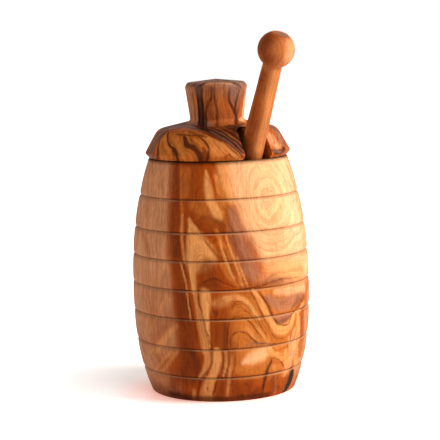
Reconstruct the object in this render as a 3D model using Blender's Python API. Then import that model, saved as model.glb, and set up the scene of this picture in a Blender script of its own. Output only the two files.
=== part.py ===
"""Turned olive-wood honey jar: a grooved barrel, a domed lid with a knob, and a honey dipper.

Metres, +Z up.  The jar stands on z = 0 with its axis on the Z axis.  The lid's notch opens
towards -Y, and the dipper leans out through it.
"""

import math

import bmesh
import bpy
from mathutils import Vector

# Jar: heights above the ground and radii of the turned barrel
JAR_HEIGHT = 0.1038
RIM_RADIUS = 0.0307
BELLY_RADIUS = 0.0393
BELLY_HEIGHT = 0.0465
FOOT_RADIUS = 0.0320
UPPER_SWELL = 2.3
LOWER_SWELL = 2.6
RIM_ROUNDING = 0.0009
FOOT_ROUNDING = 0.0009

# V-shaped grooves that part the barrel into eight bands, cut by eye at these heights
GROOVE_HEIGHTS = (0.0111, 0.0240, 0.0371, 0.0496, 0.0620, 0.0740, 0.0879)
GROOVE_WIDTH = 0.0012
GROOVE_DEPTH = 0.0007
BAND_STEPS = 3

# Hollow of the jar: the wall is thicker at the belly than at the mouth
FLOOR_THICKNESS = 0.0080
MOUTH_RADIUS = 0.0282
HOLLOW_RADIUS = 0.0312
HOLLOW_HEIGHT = 0.0560
HOLLOW_FOOT_RADIUS = 0.0262
HOLLOW_SWELL = 2.2
HOLLOW_CORNER = 0.0060
HOLLOW_CORNER_STEPS = 4
HOLLOW_STEPS = 5

# Lid: it rests on the rim with a spigot that drops into the mouth
SEAT_GAP = 0.0003
SPIGOT_RADIUS = 0.0277
SPIGOT_DEPTH = 0.0030
LID_SEAT_RADIUS = 0.0304
LID_RADIUS = 0.0322
LID_EDGE_HEIGHT = 0.1061
SHOULDER_RADIUS = 0.0264
SHOULDER_HEIGHT = 0.1164
SPIGOT_ROUNDING = 0.0006
LID_EDGE_ROUNDING = 0.0009
SHOULDER_ROUNDING = 0.0055

# Knob of the lid: it widens upwards to a low crown
KNOB_FOOT_RADIUS = 0.0117
KNOB_FOOT_HEIGHT = 0.1198
KNOB_RADIUS = 0.01375
KNOB_EDGE_HEIGHT = 0.1348
KNOB_CROWN_RADIUS = 0.0127
KNOB_CROWN_HEIGHT = 0.1366
KNOB_TOP_HEIGHT = 0.1380
KNOB_FOOT_ROUNDING = 0.0012
KNOB_EDGE_ROUNDING = 0.0012
KNOB_CROWN_ROUNDING = 0.0015

# Notch: a round-ended slot that leans outwards like the dipper
NOTCH_HALF_WIDTH = 0.0070
NOTCH_AT_RIM = Vector((-0.0004, -0.0224, JAR_HEIGHT))
NOTCH_LOW = -0.0150
NOTCH_HIGH = 0.0350
NOTCH_STEPS = 12

# Dipper: the end of its head rests on the jar's floor and its handle leans on the rim
DIPPER_LEAN = math.radians(23.55)
DIPPER_AT_RIM = Vector((0.0011, -0.0225, JAR_HEIGHT))
BALL_RADIUS = 0.00785
BALL_REACH = 0.0512
BALL_END_RADIUS = 0.0036
NECK_RADIUS = 0.0041
HANDLE_RADIUS = 0.0052
HEAD_RADIUS = 0.0112
HEAD_TIP_RADIUS = 0.0070
HEAD_LENGTH = 0.0360
HEAD_COLLAR = 0.0040
HEAD_RINGS = 6
HEAD_BULGE = 0.8
RING_GAP = 0.0022
RING_GAP_DEPTH = 0.0028
FLOOR_GAP = 0.0003

# Colours, linear, and roughness of the woods
BARREL_WOOD = ((0.56, 0.30, 0.11), 0.42)
LID_WOOD = ((0.42, 0.19, 0.06), 0.40)
DIPPER_WOOD = ((0.46, 0.21, 0.075), 0.50)

# Sides of the turned pieces and steps round their corners
BODY_SIDES = 64
DIPPER_SIDES = 24
BALL_STEPS = 9
NARROW_STEPS = 2
WIDE_STEPS = 3
SHOULDER_STEPS = 4
SHARP_ANGLE = math.radians(32.0)
WELD = 0.00001


def clear_scene():
    for old in list(bpy.data.objects):
        bpy.data.objects.remove(old)


def wood(name, colour, roughness):
    """A plain oiled wood: one colour with a soft sheen."""
    material = bpy.data.materials.new(name)
    material.use_nodes = True
    shader = material.node_tree.nodes["Principled BSDF"]
    shader.inputs["Base Color"].default_value = (*colour, 1.0)
    shader.inputs["Roughness"].default_value = roughness
    shader.inputs["Metallic"].default_value = 0.0
    return material


def rounded(corners):
    """Turns (radius, height, rounding, steps) corners into an outline with arcs at its corners."""
    outline = []
    for index, (radius, height, rounding, steps) in enumerate(corners):
        here = Vector((radius, height))
        if rounding == 0.0:
            outline.append(here)
            continue
        before = (Vector(corners[index - 1][:2]) - here).normalized()
        after = (Vector(corners[index + 1][:2]) - here).normalized()
        half_angle = before.angle(after) / 2
        centre = here + (before + after).normalized() * rounding / math.sin(half_angle)
        setback = rounding / math.tan(half_angle)
        first_spoke = here + before * setback - centre
        last_spoke = here + after * setback - centre
        for step in range(steps + 1):
            spoke = first_spoke.lerp(last_spoke, step / steps)
            outline.append(centre + spoke.normalized() * rounding)
    return outline


def turned(name, outline, sides, material):
    """Turns an outline about the local Z axis into a closed piece."""
    shape = bmesh.new()
    points = [shape.verts.new((point.x, 0.0, point.y)) for point in outline]
    edges = [shape.edges.new(pair) for pair in zip(points, points[1:])]
    bmesh.ops.spin(shape, geom=points + edges, axis=(0.0, 0.0, 1.0), angle=math.tau, steps=sides)
    bmesh.ops.remove_doubles(shape, verts=shape.verts[:], dist=WELD)
    bmesh.ops.recalc_face_normals(shape, faces=shape.faces[:])
    mesh = bpy.data.meshes.new(name)
    shape.to_mesh(mesh)
    shape.free()
    mesh.materials.append(material)
    mesh.shade_smooth()
    mesh.set_sharp_from_angle(angle=SHARP_ANGLE)
    piece = bpy.data.objects.new(name, mesh)
    bpy.context.scene.collection.objects.link(piece)
    return piece


def barrel_radius(height):
    """Outer radius of the barrel before its grooves are cut."""
    if height > BELLY_HEIGHT:
        share = (height - BELLY_HEIGHT) / (JAR_HEIGHT - BELLY_HEIGHT)
        return BELLY_RADIUS - (BELLY_RADIUS - RIM_RADIUS) * share ** UPPER_SWELL
    share = (BELLY_HEIGHT - height) / BELLY_HEIGHT
    return BELLY_RADIUS - (BELLY_RADIUS - FOOT_RADIUS) * share ** LOWER_SWELL


def hollow_radius(height):
    """Inner radius of the jar between its floor and its mouth."""
    if height > HOLLOW_HEIGHT:
        share = (height - HOLLOW_HEIGHT) / (JAR_HEIGHT - HOLLOW_HEIGHT)
        return HOLLOW_RADIUS - (HOLLOW_RADIUS - MOUTH_RADIUS) * share ** HOLLOW_SWELL
    share = (HOLLOW_HEIGHT - height) / (HOLLOW_HEIGHT - FLOOR_THICKNESS)
    return HOLLOW_RADIUS - (HOLLOW_RADIUS - HOLLOW_FOOT_RADIUS) * share ** HOLLOW_SWELL


def barrel_corners():
    """Corners down the outside of the barrel, from below the rim to above the foot."""
    corners = []
    top = JAR_HEIGHT - 2 * RIM_ROUNDING
    for groove in reversed(GROOVE_HEIGHTS):
        edge = groove + GROOVE_WIDTH / 2
        for step in range(BAND_STEPS):
            height = top + (edge - top) * step / BAND_STEPS
            corners.append((barrel_radius(height), height, 0.0, 0))
        corners.append((barrel_radius(edge), edge, 0.0, 0))
        corners.append((barrel_radius(groove) - GROOVE_DEPTH, groove, 0.0, 0))
        top = groove - GROOVE_WIDTH / 2
    bottom = 2 * FOOT_ROUNDING
    for step in range(BAND_STEPS + 1):
        height = top + (bottom - top) * step / BAND_STEPS
        corners.append((barrel_radius(height), height, 0.0, 0))
    return corners


def hollow_corners():
    """Corners up the inside of the jar, from its floor to below the rim."""
    bottom = FLOOR_THICKNESS
    top = JAR_HEIGHT - 2 * RIM_ROUNDING
    corners = [
        (0.0, bottom, 0.0, 0),
        (hollow_radius(bottom), bottom, HOLLOW_CORNER, HOLLOW_CORNER_STEPS),
    ]
    bottom += 2 * HOLLOW_CORNER
    for step in range(HOLLOW_STEPS + 1):
        height = bottom + (top - bottom) * step / HOLLOW_STEPS
        corners.append((hollow_radius(height), height, 0.0, 0))
    return corners


def make_jar(material):
    corners = hollow_corners()
    corners.append((hollow_radius(JAR_HEIGHT), JAR_HEIGHT, RIM_ROUNDING, NARROW_STEPS))
    corners.append((barrel_radius(JAR_HEIGHT), JAR_HEIGHT, RIM_ROUNDING, NARROW_STEPS))
    corners += barrel_corners()
    corners.append((barrel_radius(0.0), 0.0, FOOT_ROUNDING, NARROW_STEPS))
    corners.append((0.0, 0.0, 0.0, 0))
    return turned("jar", rounded(corners), BODY_SIDES, material)


def notch_cutter():
    """A U-shaped block through the lid's front edge, which leans outwards like the dipper."""
    outline = [(NOTCH_HALF_WIDTH, -LID_RADIUS, NOTCH_LOW)]
    for step in range(NOTCH_STEPS + 1):
        angle = math.pi * step / NOTCH_STEPS
        x = NOTCH_HALF_WIDTH * math.cos(angle)
        y = NOTCH_HALF_WIDTH * math.sin(angle)
        outline.append((x, y, NOTCH_LOW))
    outline.append((-NOTCH_HALF_WIDTH, -LID_RADIUS, NOTCH_LOW))
    block = bmesh.new()
    base = block.faces.new([block.verts.new(point) for point in outline])
    grown = bmesh.ops.extrude_face_region(block, geom=[base])
    top = [item for item in grown["geom"] if isinstance(item, bmesh.types.BMVert)]
    bmesh.ops.translate(block, verts=top, vec=(0.0, 0.0, NOTCH_HIGH - NOTCH_LOW))
    bmesh.ops.recalc_face_normals(block, faces=block.faces[:])
    mesh = bpy.data.meshes.new("notch_cutter")
    block.to_mesh(mesh)
    block.free()
    cutter = bpy.data.objects.new("notch_cutter", mesh)
    cutter.location = NOTCH_AT_RIM
    cutter.rotation_euler.x = DIPPER_LEAN
    cutter.hide_render = True
    cutter.display_type = "WIRE"
    bpy.context.scene.collection.objects.link(cutter)
    return cutter


def make_lid(material):
    seat = JAR_HEIGHT + SEAT_GAP
    corners = [
        (0.0, KNOB_TOP_HEIGHT, 0.0, 0),
        (KNOB_CROWN_RADIUS, KNOB_CROWN_HEIGHT, KNOB_CROWN_ROUNDING, NARROW_STEPS),
        (KNOB_RADIUS, KNOB_EDGE_HEIGHT, KNOB_EDGE_ROUNDING, NARROW_STEPS),
        (KNOB_FOOT_RADIUS, KNOB_FOOT_HEIGHT, KNOB_FOOT_ROUNDING, WIDE_STEPS),
        (SHOULDER_RADIUS, SHOULDER_HEIGHT, SHOULDER_ROUNDING, SHOULDER_STEPS),
        (LID_RADIUS, LID_EDGE_HEIGHT, LID_EDGE_ROUNDING, WIDE_STEPS),
        (LID_SEAT_RADIUS, seat, 0.0, 0),
        (SPIGOT_RADIUS, seat, 0.0, 0),
        (SPIGOT_RADIUS, JAR_HEIGHT - SPIGOT_DEPTH, SPIGOT_ROUNDING, NARROW_STEPS),
        (0.0, JAR_HEIGHT - SPIGOT_DEPTH, 0.0, 0),
    ]
    lid = turned("lid", rounded(corners), BODY_SIDES, material)
    notch = lid.modifiers.new("Notch", "BOOLEAN")
    notch.operation = "DIFFERENCE"
    notch.solver = "EXACT"
    notch.object = notch_cutter()
    return lid


def head_corners(end):
    """Corners down the dipper's ringed head, which is widest above its middle."""
    corners = []
    pitch = HEAD_LENGTH / HEAD_RINGS
    for ring in range(HEAD_RINGS):
        top = end + HEAD_LENGTH - ring * pitch
        bottom = top - pitch + RING_GAP
        for height in (top, bottom):
            share = (height - end) / HEAD_LENGTH
            bulge = math.sin(math.pi * share ** HEAD_BULGE)
            radius = HEAD_TIP_RADIUS + (HEAD_RADIUS - HEAD_TIP_RADIUS) * bulge
            corners.append((radius, height, 0.0, 0))
        if ring < HEAD_RINGS - 1:
            corners.append((radius - RING_GAP_DEPTH, bottom, 0.0, 0))
            corners.append((radius - RING_GAP_DEPTH, bottom - RING_GAP, 0.0, 0))
    return corners


def ball_outline():
    """Outline down the dipper's ball, from its small flat end to the neck."""
    first = math.asin(BALL_END_RADIUS / BALL_RADIUS)
    last = math.pi - math.asin(NECK_RADIUS / BALL_RADIUS)
    centre = Vector((0.0, BALL_REACH))
    outline = [Vector((0.0, BALL_REACH + BALL_RADIUS * math.cos(first)))]
    for step in range(BALL_STEPS + 1):
        angle = first + (last - first) * step / BALL_STEPS
        outline.append(centre + Vector((math.sin(angle), math.cos(angle))) * BALL_RADIUS)
    return outline


def make_dipper(material):
    """The dipper, with its origin on its axis at the height of the rim."""
    end_height = FLOOR_THICKNESS + FLOOR_GAP + HEAD_TIP_RADIUS * math.sin(DIPPER_LEAN)
    end = (end_height - JAR_HEIGHT) / math.cos(DIPPER_LEAN)
    corners = [
        (HANDLE_RADIUS, 0.0, 0.0, 0),
        (HANDLE_RADIUS, end + HEAD_LENGTH + HEAD_COLLAR, 0.0, 0),
        *head_corners(end),
        (HEAD_TIP_RADIUS, end, 0.0, 0),
        (0.0, end, 0.0, 0),
    ]
    dipper = turned("dipper", ball_outline() + rounded(corners), DIPPER_SIDES, material)
    dipper.location = DIPPER_AT_RIM
    dipper.rotation_euler.x = DIPPER_LEAN
    return dipper


def main():
    clear_scene()
    make_jar(wood("olive_wood_light", *BARREL_WOOD))
    make_lid(wood("olive_wood_dark", *LID_WOOD))
    make_dipper(wood("dipper_wood", *DIPPER_WOOD))


main()
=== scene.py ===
import math

import bmesh
import bpy
import numpy as np
from mathutils import Matrix, Vector
from mathutils.bvhtree import BVHTree


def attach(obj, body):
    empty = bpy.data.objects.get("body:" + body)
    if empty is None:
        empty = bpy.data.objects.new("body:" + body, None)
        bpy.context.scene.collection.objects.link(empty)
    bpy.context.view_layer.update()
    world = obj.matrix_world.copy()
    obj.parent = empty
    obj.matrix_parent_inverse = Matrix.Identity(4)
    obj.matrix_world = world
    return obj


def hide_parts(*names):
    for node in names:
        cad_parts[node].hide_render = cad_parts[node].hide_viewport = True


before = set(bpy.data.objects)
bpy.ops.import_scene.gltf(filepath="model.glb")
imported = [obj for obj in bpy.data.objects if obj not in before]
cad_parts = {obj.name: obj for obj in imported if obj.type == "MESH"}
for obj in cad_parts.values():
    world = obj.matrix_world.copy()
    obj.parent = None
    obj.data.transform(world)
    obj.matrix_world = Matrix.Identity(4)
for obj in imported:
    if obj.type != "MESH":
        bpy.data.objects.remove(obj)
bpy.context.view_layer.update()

# Camera: turned to the photograph's viewing angle. A pixel is 1/440 of the picture's width.
PICTURE_PIXELS = 440
FOCAL_PIXELS = 1600.0
SENSOR_WIDTH = 36.0
CENTRE_PIXEL = (219.5, 220.0)
CAMERA_AZIMUTH = math.radians(-35.0)
CAMERA_PITCH = math.radians(7.06)
CAMERA_ROLL = math.radians(1.5)
CAMERA_DISTANCE = 0.7131
CAMERA_TARGET = Vector((0.0, 0.0, 0.07516))
PIXEL = CAMERA_DISTANCE / FOCAL_PIXELS
FACING = np.array((math.sin(CAMERA_AZIMUTH), -math.cos(CAMERA_AZIMUTH), 0.0))

# Jar, in metres: a barrel with V grooves that part it into bands
JAR_HEIGHT = 0.1038
RIM_RADIUS = 0.0307
BELLY_RADIUS = 0.0393
BELLY_HEIGHT = 0.0465
FOOT_RADIUS = 0.0320
UPPER_SWELL = 2.3
LOWER_SWELL = 2.6
EDGE_ROUNDING = 0.0009
GROOVE_HEIGHTS = (0.0111, 0.0240, 0.0371, 0.0496, 0.0620, 0.0740, 0.0879)
GROOVE_HALF_WIDTH = 0.00052
GROOVE_DEPTH = 0.0007
GROOVE_STEEPNESS = 4
GROOVE_REACH = 2
GROOVE_ROWS = (-1.6, -1.15, -0.85, -0.5, -0.2, 0.0, 0.2, 0.5, 0.85, 1.15, 1.6)
BAND_CROWN = 0.00015
BAND_ROWS = 14
MOUTH_RADIUS = 0.0282
HOLLOW_RADIUS = 0.0312
HOLLOW_HEIGHT = 0.0560
HOLLOW_FOOT_RADIUS = 0.0262
HOLLOW_SWELL = 2.2
HOLLOW_CORNER = 0.0060
HOLLOW_ROWS = 10
FLAT_STEP = 0.0030
FLOOR_THICKNESS = 0.0080
JAR_SIDES = 384

# Lid and its knob
LID_SEAT = 0.1041
SPIGOT_RADIUS = 0.0277
SPIGOT_LOW = 0.1008
LID_SEAT_RADIUS = 0.0304
LID_RADIUS = 0.0322
LID_EDGE_HEIGHT = 0.1061
LID_ROUNDING = 0.0009
SPIGOT_ROUNDING = 0.0006
SHOULDER_RADIUS = 0.0264
SHOULDER_HEIGHT = 0.1164
SHOULDER_ROUNDING = 0.0055
KNOB_FOOT_RADIUS = 0.0117
KNOB_FOOT_HEIGHT = 0.1198
KNOB_RADIUS = 0.01375
KNOB_EDGE_HEIGHT = 0.1348
KNOB_CROWN_RADIUS = 0.0127
KNOB_CROWN_HEIGHT = 0.1366
KNOB_TOP_HEIGHT = 0.1380
KNOB_ROUNDING = 0.0012
CROWN_ROUNDING = 0.0015
LID_SIDES = 360
LID_STEP = 0.0005
NOTCH_HALF_WIDTH = 0.0070
NOTCH_AT_RIM = Vector((-0.0004, -0.0224, JAR_HEIGHT))
NOTCH_LOW = -0.0150
NOTCH_HIGH = 0.0350
NOTCH_STEPS = 48
NOTCH_ROWS = 50

# Dipper, along its own axis from the height of the rim
DIPPER_LEAN = math.radians(23.55)
DIPPER_AT_RIM = Vector((0.0011, -0.0225, JAR_HEIGHT))
BALL_RADIUS = 0.00785
BALL_REACH = 0.0512
BALL_END_RADIUS = 0.0036
NECK_RADIUS = 0.0041
HANDLE_RADIUS = 0.0052
HEAD_RADIUS = 0.0112
HEAD_TIP_RADIUS = 0.0070
HEAD_LENGTH = 0.0360
HEAD_COLLAR = 0.0040
HEAD_RINGS = 6
HEAD_BULGE = 0.8
RING_GAP = 0.0022
RING_GAP_DEPTH = 0.0028
RING_ROUNDING = 0.0005
FLOOR_GAP = 0.0003
DIPPER_SIDES = 128
DIPPER_STEP = 0.0008
BALL_STEPS = 40

ORIGIN = (0.0, 0.0, 0.0)
ARC_STEPS = 4
SHARP_ANGLE = math.radians(34.0)

# Colours of the woods, in sRGB from 0 to 255
WOODS = {
    "cream": (232, 168, 116),
    "butter": (240, 183, 137),
    "straw": (220, 146, 82),
    "tan": (193, 129, 88),
    "amber": (190, 106, 42),
    "honey": (172, 86, 30),
    "orange": (157, 66, 11),
    "russet": (142, 64, 20),
    "red_brown": (120, 50, 16),
    "umber": (78, 32, 14),
    "plum": (168, 106, 74),
    # smoke_and_sheen: grey figure, and a painted sheen where it is laid over the lid's top and the knob's
    # crown
    "smoke_and_sheen": (128, 96, 80),
    "char": (40, 24, 18),
    "dipper": (182, 104, 54),
}

# Figure of the barrel. Each stroke is (wood, strength, softness, half width, points), and is
# laid over the ones before it. Widths and points are in pixels of the photograph, and the
# points lie on the wood.
BARREL_STROKES = (
    # left side: dull sapwood, redder towards the foot, with slanting paler streaks
    ("tan", 1.0, 0.5, 30, ((144, 160), (138, 240), (140, 330), (150, 400))),
    ("tan", 1.0, 0.35, (16, 16, 16, 17, 19), ((160, 162), (158, 200), (156, 250), (159, 300), (162, 340))),
    ("russet", 0.30, 0.8, 20, ((156, 300), (162, 345), (172, 398))),
    ("russet", 0.35, 0.8, (3, 4, 3), ((143, 234), (147, 246), (150, 258))),
    ("red_brown", 0.65, 0.9, 11, ((155, 390), (176, 398), (200, 406))),
    ("russet", 0.35, 0.9, 7, ((182, 308), (170, 322), (156, 340))),
    ("russet", 0.35, 0.9, 5, ((184, 340), (172, 356), (158, 374))),
    ("straw", 0.45, 0.9, 2, ((176, 326), (167, 338), (156, 352))),
    ("straw", 0.40, 0.9, 1.6, ((170, 330), (160, 342), (150, 352))),
    ("straw", 0.42, 0.9, 1.8, ((178, 350), (170, 361), (162, 372))),
    ("straw", 0.38, 0.9, 1.5, ((171, 352), (162, 362), (156, 370))),
    ("straw", 0.35, 0.9, 1.6, ((166, 296), (160, 310), (150, 330))),
    ("straw", 0.30, 0.9, 1.3, ((160, 290), (158, 302), (154, 314))),
    ("straw", 0.35, 0.8, 1.6, ((176, 241), (173, 246), (170, 258))),
    ("straw", 0.35, 0.9, 1.6, ((166, 262), (161, 272), (159, 284))),
    ("straw", 0.30, 0.9, 2.4, ((160, 176), (168, 172), (172, 180))),
    # middle: heartwood
    ("orange", 1.0, 0.3, 27, ((208, 160), (207, 240), (215, 320), (218, 400))),
    ("russet", 0.6, 0.7, 5, ((196, 166), (195, 196))),
    ("amber", 0.5, 0.8, 3, ((187, 170), (186, 196))),
    ("amber", 0.6, 0.9, (4, 8, 11), ((192, 206), (204, 210), (216, 212))),
    ("amber", 1.0, 0.4, 40, ((272, 320), (266, 350), (256, 372))),
    ("red_brown", 0.5, 0.8, 9, ((220, 326), (222, 352), (222, 396))),
    ("orange", 0.9, 0.6, 14, ((226, 384), (250, 390), (280, 388))),
    # right side: sapwood
    ("straw", 0.9, 0.7, 8, ((225, 160), (228, 180), (232, 196))),
    ("cream", 1.0, 0.3, 36, ((276, 160), (282, 200), (288, 240))),
    ("cream", 1.0, 0.5, 16, ((248, 165), (250, 190), (258, 220), (272, 240))),
    ("cream", 0.8, 0.6, 14, ((276, 250), (290, 262), (300, 268))),
    ("cream", 0.9, 0.7, 7, ((237, 162), (240, 182), (247, 204), (255, 224))),
    ("butter", 0.8, 0.9, 16, ((286, 168), (294, 205), (298, 240))),
    ("straw", 0.7, 0.7, 12, ((276, 270), (292, 274), (304, 272))),
    # the side past the right edge of the picture
    ("cream", 0.9, 0.7, 15, ((296, 165), (303, 200), (306, 240), (307, 262))),
    ("amber", 0.9, 0.7, 12, ((308, 296), (306, 340), (298, 388))),
    ("tan", 0.6, 0.7, (4, 7, 5), ((308, 290), (306, 330), (300, 370))),
    # dark band left of the middle
    ("russet", 0.6, 0.8, 5, ((174, 164), (171, 230), (171, 258))),
    ("red_brown", 0.62, 0.6, (3, 4, 5, 5, 6.5, 6.5), ((178, 162), (177, 190), (175, 220), (175, 250),
        (177, 262), (180, 292))),
    ("red_brown", 0.8, 0.6, (6, 8, 9, 9), ((181, 292), (185, 322), (188, 350), (189, 376))),
    ("umber", 0.5, 0.8, 3.5, ((177, 238), (177, 254))),
    ("umber", 0.6, 0.7, (3, 5, 3), ((193, 352), (197, 363), (196, 372))),
    ("red_brown", 0.65, 0.9, (4, 8, 9, 9), ((172, 386), (180, 376), (190, 374), (198, 376))),
    ("umber", 0.5, 0.9, (4, 8, 8), ((168, 397), (179, 396), (188, 398))),
    ("umber", 0.5, 0.8, (1, 2.5, 1), ((183, 263), (185, 275), (186, 290))),
    # pale wedges and the strips beside them
    ("amber", 0.8, 0.6, 1.3, ((181, 164), (181, 190), (182, 214))),
    ("straw", 0.95, 0.7, (0.8, 3, 3.6, 3.4), ((206, 171), (207, 183), (209, 195), (211, 204))),
    ("straw", 0.95, 0.7, (2.4, 4.6, 4.4, 2), ((212, 204), (215, 209), (218, 214), (220, 219))),
    ("straw", 0.5, 0.8, 1.6, ((216, 176), (218, 190), (222, 203))),
    ("straw", 1.0, 0.3, (1.6, 4, 8, 11, 15), ((189, 219), (191, 226), (194, 234), (197, 244), (201, 257))),
    ("straw", 0.6, 0.5, 1.4, ((182, 215), (182, 235), (183, 250), (185, 262))),
    ("straw", 0.7, 0.5, 0.9, ((181, 262), (184, 276), (187, 290), (188, 304), (191, 320))),
    ("straw", 1.0, 0.35, (6, 4, 2.8, 2.4), ((192, 258), (192, 268), (193, 280), (194, 292))),
    ("straw", 0.66, 0.4, (1.9, 2.4, 3, 3.5, 3.7), ((195, 290), (197, 306), (200, 322), (203, 336),
        (206, 350))),
    ("straw", 0.66, 0.4, (3.2, 3.2, 2.6, 1.6), ((206, 350), (208, 360), (205, 370), (200, 378))),
    ("straw", 1.0, 0.35, (5, 4.6, 3.4, 1.6, 0.6), ((205, 293), (206, 306), (206, 320), (208, 332),
        (210, 346))),
    ("straw", 0.9, 0.35, (3.4, 4.4, 4, 3.6), ((217, 350), (217, 360), (215, 370), (212, 378))),
    ("straw", 0.75, 0.4, (5, 5.6, 6), ((210, 380), (208, 390), (206, 401))),
    ("straw", 0.5, 0.6, 2, ((194, 391), (194, 400))),
    ("straw", 0.45, 0.6, (2, 5, 5, 2), ((213, 304), (219, 303), (226, 301), (231, 299))),
    ("red_brown", 0.4, 0.9, 6, ((202, 222), (212, 227), (222, 230))),
    ("russet", 0.5, 0.8, (0.6, 1.6, 2.2), ((204, 240), (212, 250), (221, 259))),
    ("umber", 0.4, 0.9, 3, ((217, 221), (223, 224))),
    ("umber", 0.8, 0.5, 0.9, ((208, 388), (208, 389))),
    ("umber", 0.6, 0.7, (1, 2, 1), ((213, 311), (216, 313), (215, 316))),
    # brown and purple heartwood right of the middle
    ("amber", 0.8, 0.6, (2, 4, 5, 6), ((217, 186), (222, 200), (227, 212), (233, 230))),
    ("amber", 0.8, 0.6, (2, 3, 3, 3), ((216, 230), (220, 238), (224, 250), (228, 260))),
    ("red_brown", 0.4, 0.8, (2, 3.5, 4, 3), ((226, 206), (230, 220), (233, 234), (238, 250))),
    ("plum", 0.95, 0.95, (3, 6.5, 8, 6.5), ((231, 212), (238, 238), (245, 256), (252, 272))),
    ("red_brown", 0.55, 0.9, (2, 3, 3, 4, 3), ((226, 216), (231, 230), (237, 248), (244, 266),
        (250, 282))),
    ("plum", 0.6, 0.8, (5, 6, 5, 3), ((246, 270), (258, 278), (272, 280), (292, 280))),
    ("russet", 0.8, 0.6, 9, ((208, 268), (212, 280))),
    ("red_brown", 0.6, 0.8, 4.5, ((202, 286), (218, 285))),
    ("amber", 0.7, 0.6, (2, 4, 3), ((222, 264), (230, 276), (240, 286))),
    ("straw", 0.7, 0.6, (0.6, 1.6, 1.8, 1), ((219, 236), (222, 248), (227, 262), (234, 279))),
    ("straw", 0.7, 0.6, (0.6, 1.4, 1.6, 1), ((226, 236), (230, 250), (236, 266), (243, 286))),
    ("straw", 0.6, 0.6, 1.0, ((237, 258), (242, 272), (248, 287))),
    ("straw", 0.6, 0.7, 0.9, ((232, 198), (239, 210), (247, 222), (254, 232))),
    ("straw", 0.5, 0.7, 0.9, ((237, 196), (244, 208), (252, 222))),
    # a warm streak in the pale sapwood
    ("amber", 0.3, 0.9, 3, ((288, 168), (294, 184), (297, 200))),
    # the dark edge across the middle, and the plum patches below it
    ("red_brown", 0.5, 0.8, (2, 3, 3, 1.5), ((240, 288), (252, 287), (266, 284), (282, 280))),
    ("cream", 0.8, 0.6, (3, 4.5, 4.5), ((276, 292), (290, 291), (304, 288))),
    ("plum", 0.9, 0.5, (4, 6, 7, 6, 3), ((268, 298), (276, 303), (285, 304), (294, 300), (301, 295))),
    ("plum", 0.95, 0.4, (2, 4.5, 4.5, 2), ((272, 317), (279, 320), (286, 319), (293, 315))),
    ("red_brown", 0.35, 0.8, (1.6, 3, 3, 1.6), ((274, 319), (280, 321), (286, 320), (292, 316))),
    ("umber", 0.45, 0.8, (1.5, 3, 2), ((274, 321), (281, 323), (289, 319))),
    ("umber", 0.35, 0.8, (1, 2.4, 2.4), ((258, 290), (266, 304), (271, 314))),
    ("umber", 0.35, 0.8, 2, ((292, 308), (300, 298))),
    ("straw", 0.9, 0.4, (1.4, 2.6, 3, 3, 2.4), ((253, 290), (259, 299), (265, 311), (272, 323),
        (278, 332))),
    ("straw", 1.0, 0.4, (2, 5, 5.5, 4, 2), ((272, 324), (278, 329), (285, 329), (291, 322), (294, 314))),
    ("straw", 1.0, 0.4, (1.6, 3, 1.6), ((304, 302), (301, 307), (296, 312))),
    ("straw", 0.95, 0.4, (3, 4.5, 4.5, 4), ((298, 316), (298, 330), (296, 346), (296, 364))),
    ("tan", 0.8, 0.6, 3.0, ((305, 312), (305, 330), (304, 345), (302, 362))),
    ("cream", 0.5, 0.8, (2, 4, 3), ((289, 338), (291, 348), (290, 358))),
    # arches
    ("straw", 0.6, 0.6, (3, 3, 2.6), ((226, 299), (235, 297), (243, 299))),
    ("straw", 0.95, 0.4, (2, 2.6, 2.4, 2.2), ((240, 298), (246, 302), (251, 308), (258, 318))),
    ("amber", 0.8, 0.6, (3, 4, 3), ((234, 312), (242, 308), (250, 314))),
    ("straw", 0.6, 0.6, (1.4, 2, 2), ((256, 324), (262, 334), (268, 342))),
    ("straw", 0.5, 0.6, (1.4, 2, 1.4), ((247, 327), (253, 335), (259, 341))),
    ("smoke_and_sheen", 0.5, 0.7, (1, 1.6, 1), ((247, 345), (256, 343), (268, 344))),
    ("red_brown", 0.7, 0.7, (1.6, 2.4, 2.4), ((225, 320), (225, 336), (226, 352))),
    # streaks towards the foot
    ("red_brown", 0.7, 0.6, 1.6, ((223, 354), (223, 366), (221, 378))),
    ("straw", 0.8, 0.5, 1.2, ((226, 352), (226, 364), (224, 376))),
    ("red_brown", 0.6, 0.6, 1.6, ((229, 352), (229, 366), (227, 378))),
    ("straw", 0.7, 0.6, 1.3, ((232, 356), (231, 368), (229, 378))),
    ("amber", 0.9, 0.6, (6, 8, 6), ((240, 364), (250, 370), (262, 368))),
    ("straw", 1.0, 0.5, (4, 7, 7, 5), ((248, 360), (254, 357), (261, 355), (267, 352))),
    ("butter", 0.55, 0.8, (2, 5, 6, 4), ((243, 363), (251, 359), (259, 356), (268, 350))),
    ("russet", 0.5, 0.8, 5, ((232, 346), (234, 362))),
    ("straw", 0.8, 0.5, (3, 3, 3), ((268, 350), (275, 354), (282, 358))),
    ("cream", 0.5, 0.8, (3, 5, 4), ((294, 330), (293, 348), (289, 370))),
    ("straw", 0.9, 0.5, (2, 4, 4, 3), ((286, 350), (286, 358), (286, 366), (285, 374))),
    ("straw", 0.4, 0.7, 2, ((274, 366), (276, 376), (275, 392))),
    ("red_brown", 0.6, 0.9, 5, ((275, 376), (274, 390))),
    ("red_brown", 0.6, 0.7, 3, ((222, 382), (220, 398))),
    ("red_brown", 0.6, 0.7, 5, ((234, 384), (240, 396))),
    ("straw", 0.6, 0.7, 1.4, ((229, 381), (227, 396))),
    ("red_brown", 0.5, 0.8, 6, ((252, 384), (256, 396))),
    # a painted contact shadow along the bottom edge of the foot
    ("umber", 0.85, 0.8, 3, ((172, 394), (190, 398), (210, 399), (230, 399), (250, 397), (268, 395))),
    # the crack and the knot at the foot
    ("umber", 0.6, 0.7, (1.6, 2.4, 1.6), ((271, 362), (266, 374), (263, 388))),
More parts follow.
